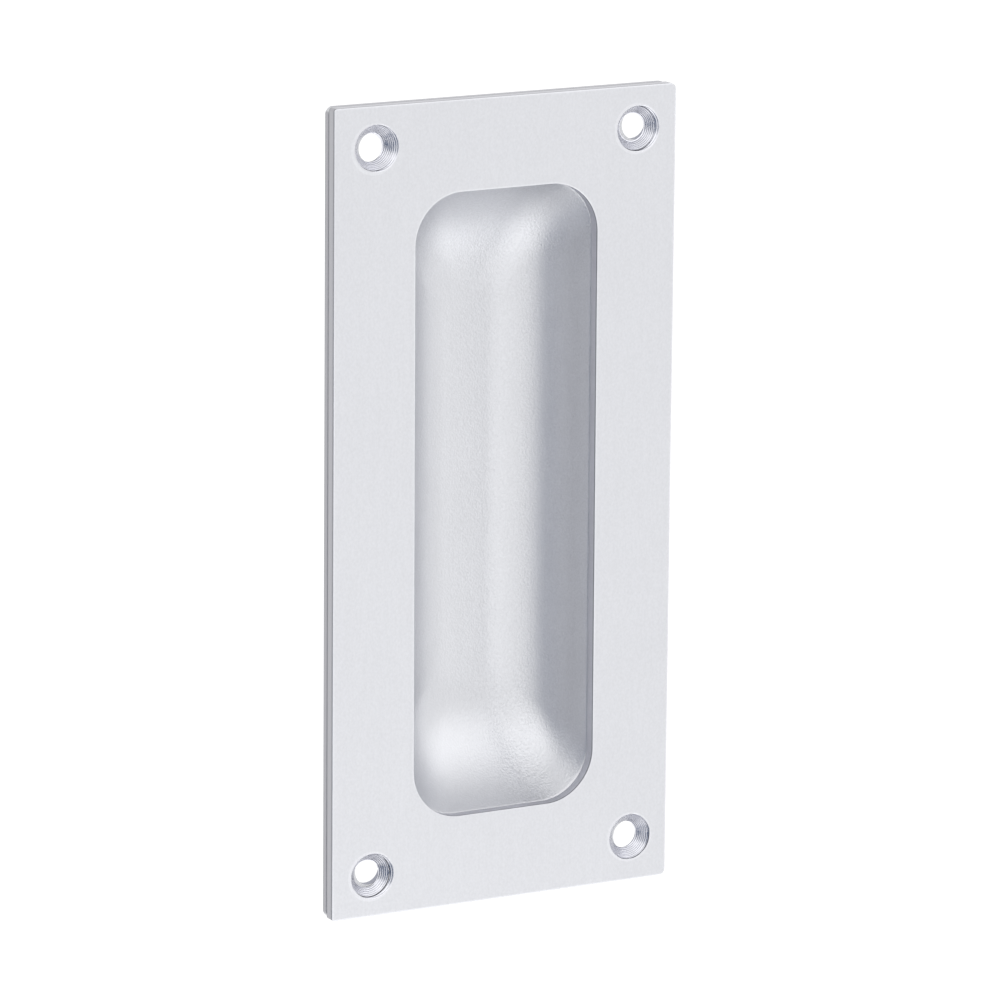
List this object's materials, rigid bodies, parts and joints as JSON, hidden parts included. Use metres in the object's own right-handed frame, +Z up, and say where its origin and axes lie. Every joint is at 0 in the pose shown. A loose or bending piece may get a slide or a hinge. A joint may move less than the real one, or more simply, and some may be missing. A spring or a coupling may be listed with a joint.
{
  "type": "recessed pull handle",
  "caption": "Flush finger pull for a sliding door: a flat front plate with a window over a deep-drawn sheet recess, fixed by countersunk screws.",
  "frame": {"origin": "centre of the four-screw pattern, on the back face of the pan's flange, where the handle seats on the door", "axes": "+Z up along the long side, +X to the right seen from the front, +Y from the front face into the door"},
  "size_m": [0.07, 0.0175, 0.15],
  "materials": {
    "plate_satin": "satin anodised, silver, fine upright grain",
    "pan_satin": "satin anodised, silver, fine pearly grain"
  },
  "bodies": {
    "root": {"front_plate": "plate_satin", "recess_pan": "pan_satin"}
  },
  "joints": []
}
